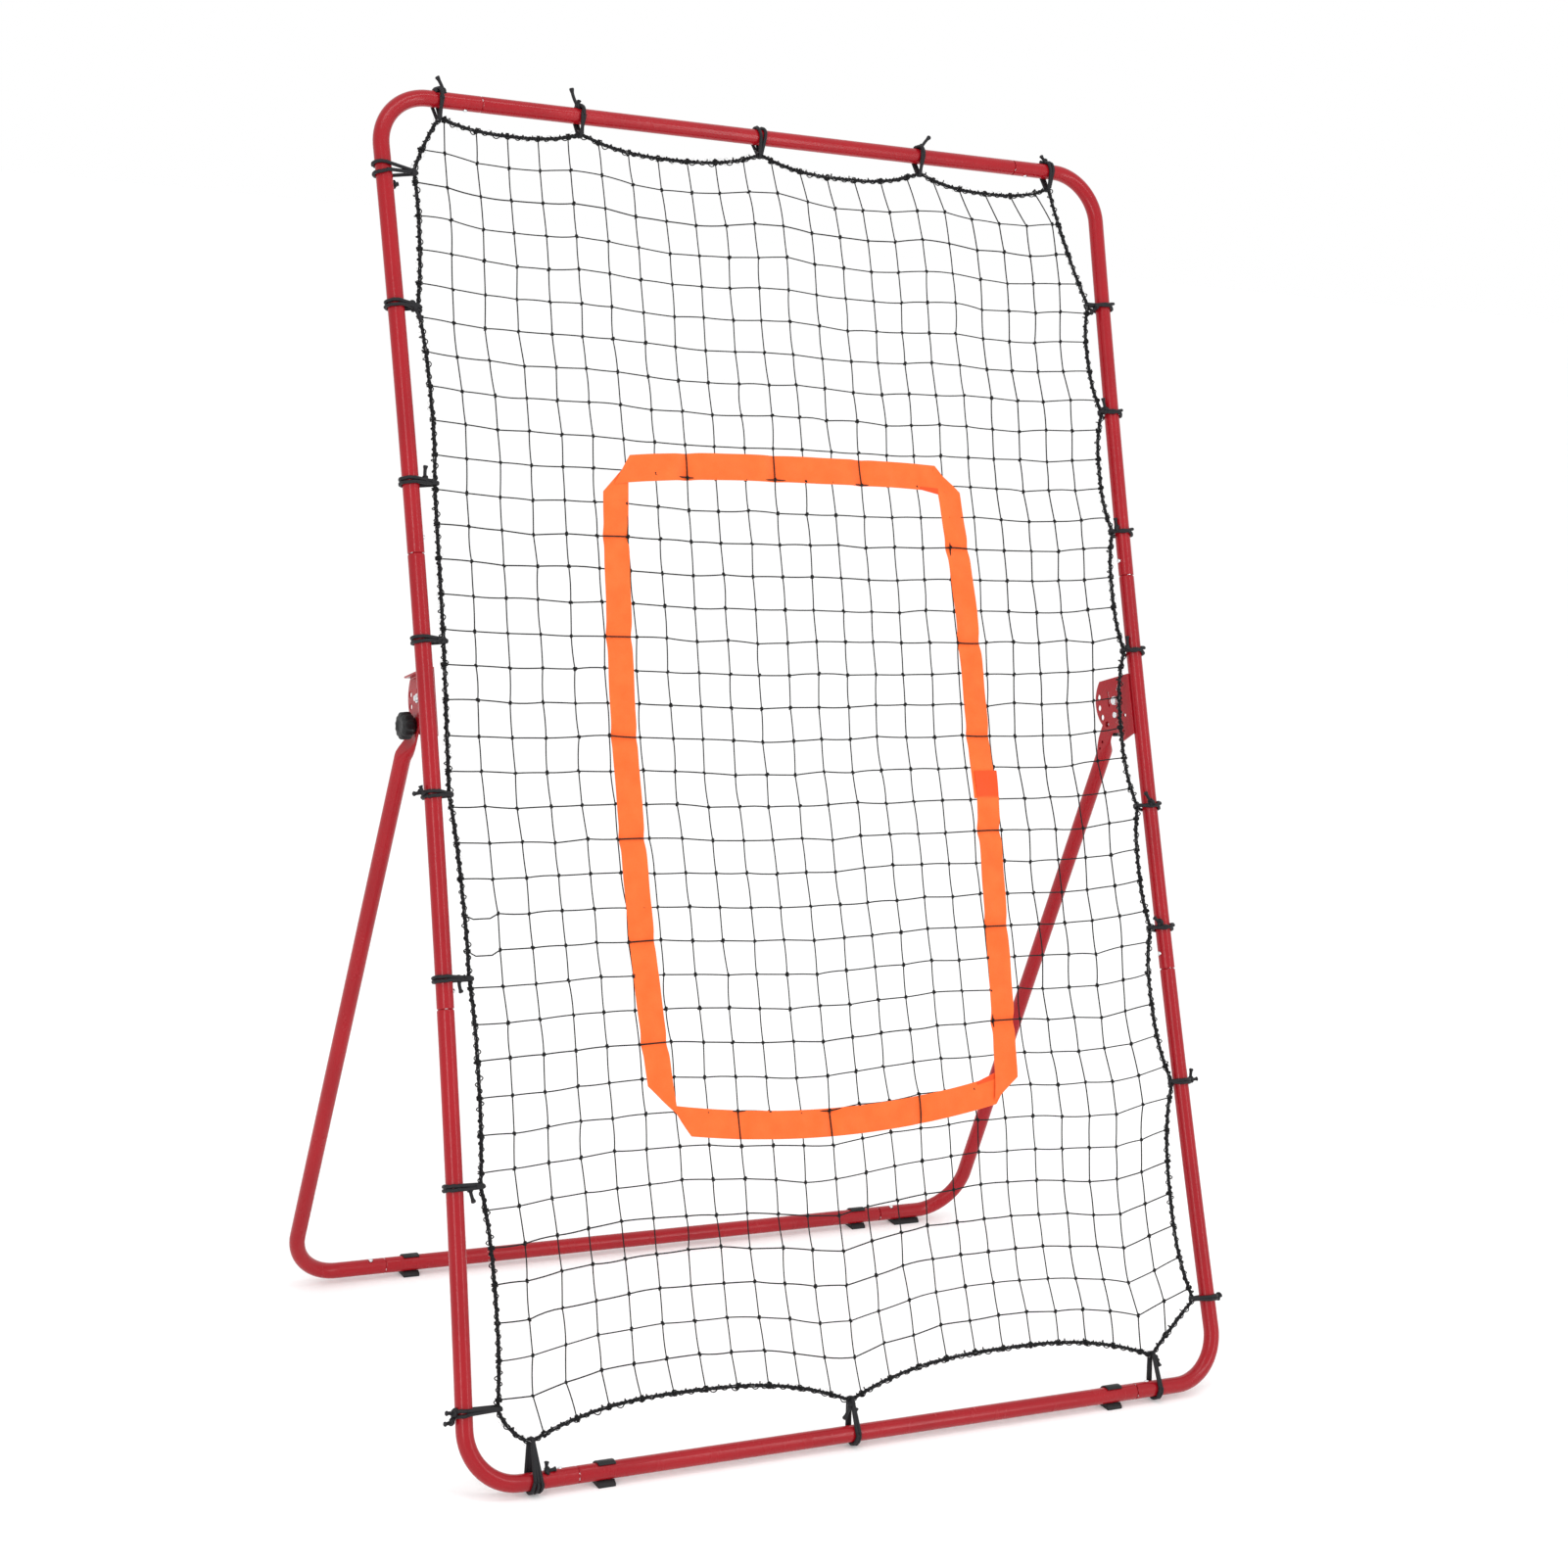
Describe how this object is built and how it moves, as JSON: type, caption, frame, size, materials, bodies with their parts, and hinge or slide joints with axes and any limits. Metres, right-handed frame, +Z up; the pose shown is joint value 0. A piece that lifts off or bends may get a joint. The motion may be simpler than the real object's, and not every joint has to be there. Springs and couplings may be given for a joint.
{
  "type": "pitching target net",
  "caption": "Leaning round-tube frame with a tied-in square-mesh net and a ribbon strike zone, held up by a folding U-shaped rear leg.",
  "frame": {"origin": "centre of the bounding box, on the ground", "axes": "+X to the viewer's right when facing the net, +Y from the pitcher's side towards the rear leg, +Z up"},
  "size_m": [1.18, 0.7096, 1.6701],
  "materials": {
    "red_powder_coat": "satin-gloss powder coat",
    "zinc_steel": "zinc plated",
    "black_plastic": "moulded, fine grain",
    "black_cord": "twisted polyester",
    "orange_webbing": "plain woven"
  },
  "bodies": {
    "frame": {"frame_bottom_bar": "red_powder_coat", "frame_top_bar": "red_powder_coat", "frame_left_side": "red_powder_coat", "frame_bottom_left_corner": "red_powder_coat", "frame_top_left_corner": "red_powder_coat", "frame_right_side": "red_powder_coat", "frame_bottom_right_corner": "red_powder_coat", "frame_top_right_corner": "red_powder_coat", "bracket_left": "red_powder_coat", "front_foot_left": "black_plastic", "bracket_right": "red_powder_coat", "front_foot_right": "black_plastic", "pivot_bolt_left": "zinc_steel", "pivot_bolt_right": "zinc_steel", "net_panel": "black_cord", "border_rope": "black_cord", "strike_zone_ribbon": "orange_webbing", "tie_top_1": "black_cord", "tie_top_2": "black_cord", "tie_top_3": "black_cord", "tie_top_4": "black_cord", "tie_top_5": "black_cord", "tie_right_1": "black_cord", "tie_right_2": "black_cord", "tie_right_3": "black_cord", "tie_right_4": "black_cord", "tie_right_5": "black_cord", "tie_right_6": "black_cord", "tie_right_7": "black_cord", "tie_right_8": "black_cord", "tie_bottom_1": "black_cord", "tie_bottom_2": "black_cord", "tie_bottom_3": "black_cord", "tie_left_1": "black_cord", "tie_left_2": "black_cord", "tie_left_3": "black_cord", "tie_left_4": "black_cord", "tie_left_5": "black_cord", "tie_left_6": "black_cord", "tie_left_7": "black_cord", "tie_left_8": "black_cord"},
    "leg": {"leg_rear_bar": "red_powder_coat", "leg_left_side": "red_powder_coat", "rear_foot_left": "black_plastic", "leg_right_side": "red_powder_coat", "rear_foot_right": "black_plastic", "rear_heel_pad": "black_plastic"},
    "knob_left": {"lock_knob_left": "black_plastic"},
    "knob_right": {"lock_knob_right": "black_plastic"},
    "button_left_lower": {"button_left_lower": "zinc_steel"},
    "button_left_upper": {"button_left_upper": "zinc_steel"},
    "button_bottom_left": {"button_bottom_left": "zinc_steel"},
    "button_top_left": {"button_top_left": "zinc_steel"},
    "button_right_lower": {"button_right_lower": "zinc_steel"},
    "button_right_upper": {"button_right_upper": "zinc_steel"},
    "button_bottom_right": {"button_bottom_right": "zinc_steel"},
    "button_top_right": {"button_top_right": "zinc_steel"},
    "button_leg_left": {"button_leg_left": "zinc_steel"},
    "button_leg_right": {"button_leg_right": "zinc_steel"}
  },
  "joints": [
    {"name": "leg_fold", "type": "hinge", "parent": "frame", "child": "leg", "pos_m": [0, 0.07037, 0.90601], "axis": [1, 0, 0], "range_deg": [-38.43, 67.5]},
    {"name": "left_knob_turn", "type": "hinge", "parent": "leg", "child": "knob_left", "pos_m": [-0.55136, 0.08135, 0.86755], "axis": [1, 0, 0], "continuous": true},
    {"name": "right_knob_turn", "type": "hinge", "parent": "leg", "child": "knob_right", "pos_m": [0.55136, 0.08135, 0.86755], "axis": [1, 0, 0], "continuous": true},
    {"name": "button_left_lower_press", "type": "slide", "parent": "frame", "child": "button_left_lower", "axis": [-1, 0, 0], "range_m": [0, 0.003], "stiffness_N_per_m": 1500, "springref_m": -0.0005},
    {"name": "button_left_upper_press", "type": "slide", "parent": "frame", "child": "button_left_upper", "axis": [-1, 0, 0], "range_m": [0, 0.003], "stiffness_N_per_m": 1500, "springref_m": -0.0005},
    {"name": "button_bottom_left_press", "type": "slide", "parent": "frame", "child": "button_bottom_left", "axis": [0, -0.3827, -0.9239], "range_m": [0, 0.003], "stiffness_N_per_m": 1500, "springref_m": -0.0005},
    {"name": "button_top_left_press", "type": "slide", "parent": "frame", "child": "button_top_left", "axis": [0, 0.3827, 0.9239], "range_m": [0, 0.003], "stiffness_N_per_m": 1500, "springref_m": -0.0005},
    {"name": "button_right_lower_press", "type": "slide", "parent": "frame", "child": "button_right_lower", "axis": [1, 0, 0], "range_m": [0, 0.003], "stiffness_N_per_m": 1500, "springref_m": -0.0005},
    {"name": "button_right_upper_press", "type": "slide", "parent": "frame", "child": "button_right_upper", "axis": [1, 0, 0], "range_m": [0, 0.003], "stiffness_N_per_m": 1500, "springref_m": -0.0005},
    {"name": "button_bottom_right_press", "type": "slide", "parent": "frame", "child": "button_bottom_right", "axis": [0, -0.3827, -0.9239], "range_m": [0, 0.003], "stiffness_N_per_m": 1500, "springref_m": -0.0005},
    {"name": "button_top_right_press", "type": "slide", "parent": "frame", "child": "button_top_right", "axis": [0, 0.3827, 0.9239], "range_m": [0, 0.003], "stiffness_N_per_m": 1500, "springref_m": -0.0005},
    {"name": "button_leg_left_press", "type": "slide", "parent": "leg", "child": "button_leg_left", "axis": [0, 0.2744, -0.9616], "range_m": [0, 0.003], "stiffness_N_per_m": 1500, "springref_m": -0.0005},
    {"name": "button_leg_right_press", "type": "slide", "parent": "leg", "child": "button_leg_right", "axis": [0, 0.2744, -0.9616], "range_m": [0, 0.003], "stiffness_N_per_m": 1500, "springref_m": -0.0005}
  ]
}
